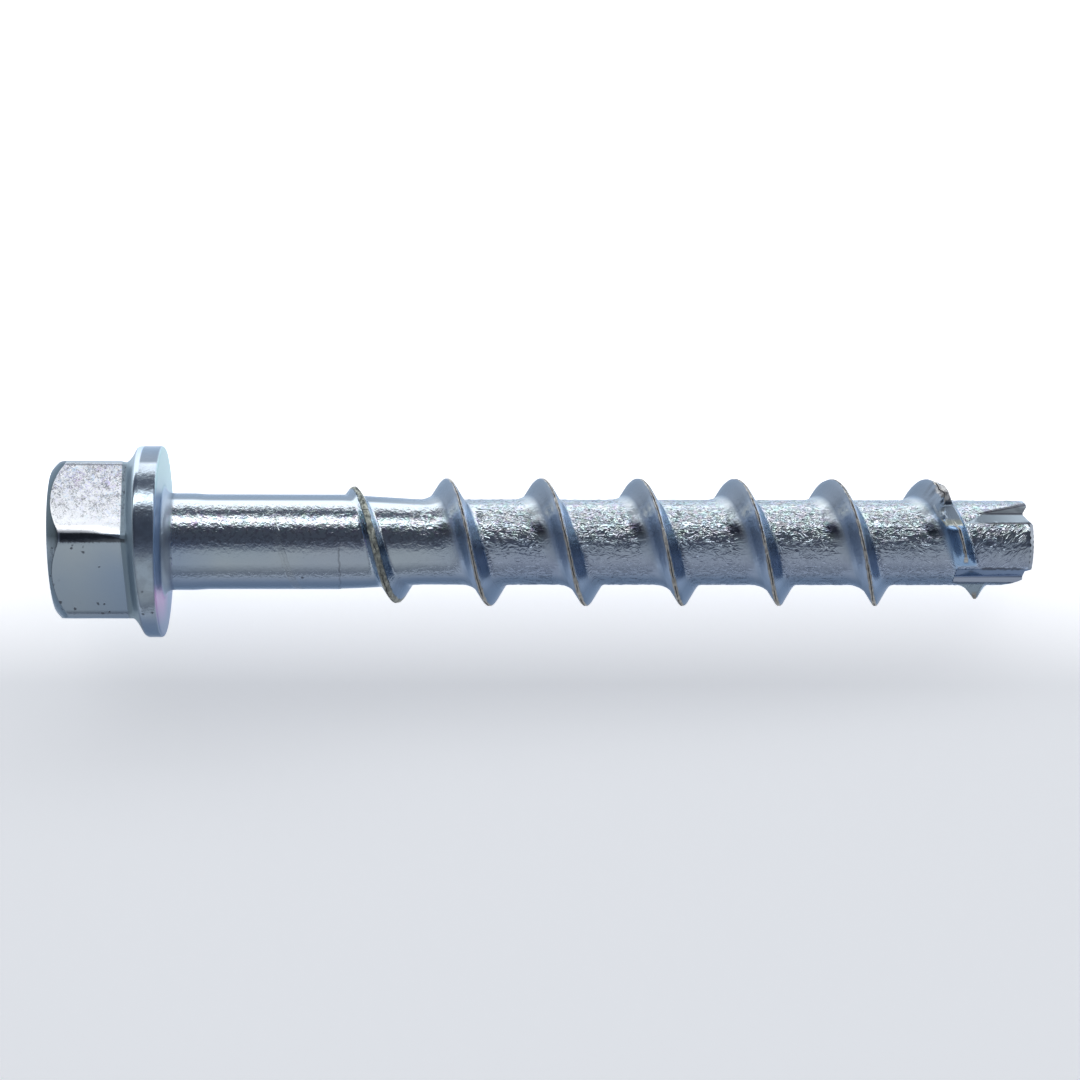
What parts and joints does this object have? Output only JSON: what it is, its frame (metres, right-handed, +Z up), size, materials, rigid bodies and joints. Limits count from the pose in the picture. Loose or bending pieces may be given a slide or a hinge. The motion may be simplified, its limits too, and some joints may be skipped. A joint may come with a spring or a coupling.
{
  "type": "concrete screw",
  "caption": "Zinc-plated steel concrete screw with a hexagon head, an integral flange, a smooth neck, a coarse thread and a fluted flat tip, lying on its side.",
  "frame": {"origin": "centre of the bearing face under the flange, on the screw's axis", "axes": "+X runs along the screw from the head to the tip, 2.4 degrees above the tilted axis of the lying screw; +Z is up, away from the surface that it lies on; +Y completes the right-handed set"},
  "size_m": [0.0798, 0.0156, 0.0157],
  "materials": {
    "zinc_plated_steel": "bright bluish zinc plate, smooth on the neck and hammered between the turns of the thread"
  },
  "bodies": {
    "root": {"concrete_screw": "zinc_plated_steel"}
  },
  "joints": []
}
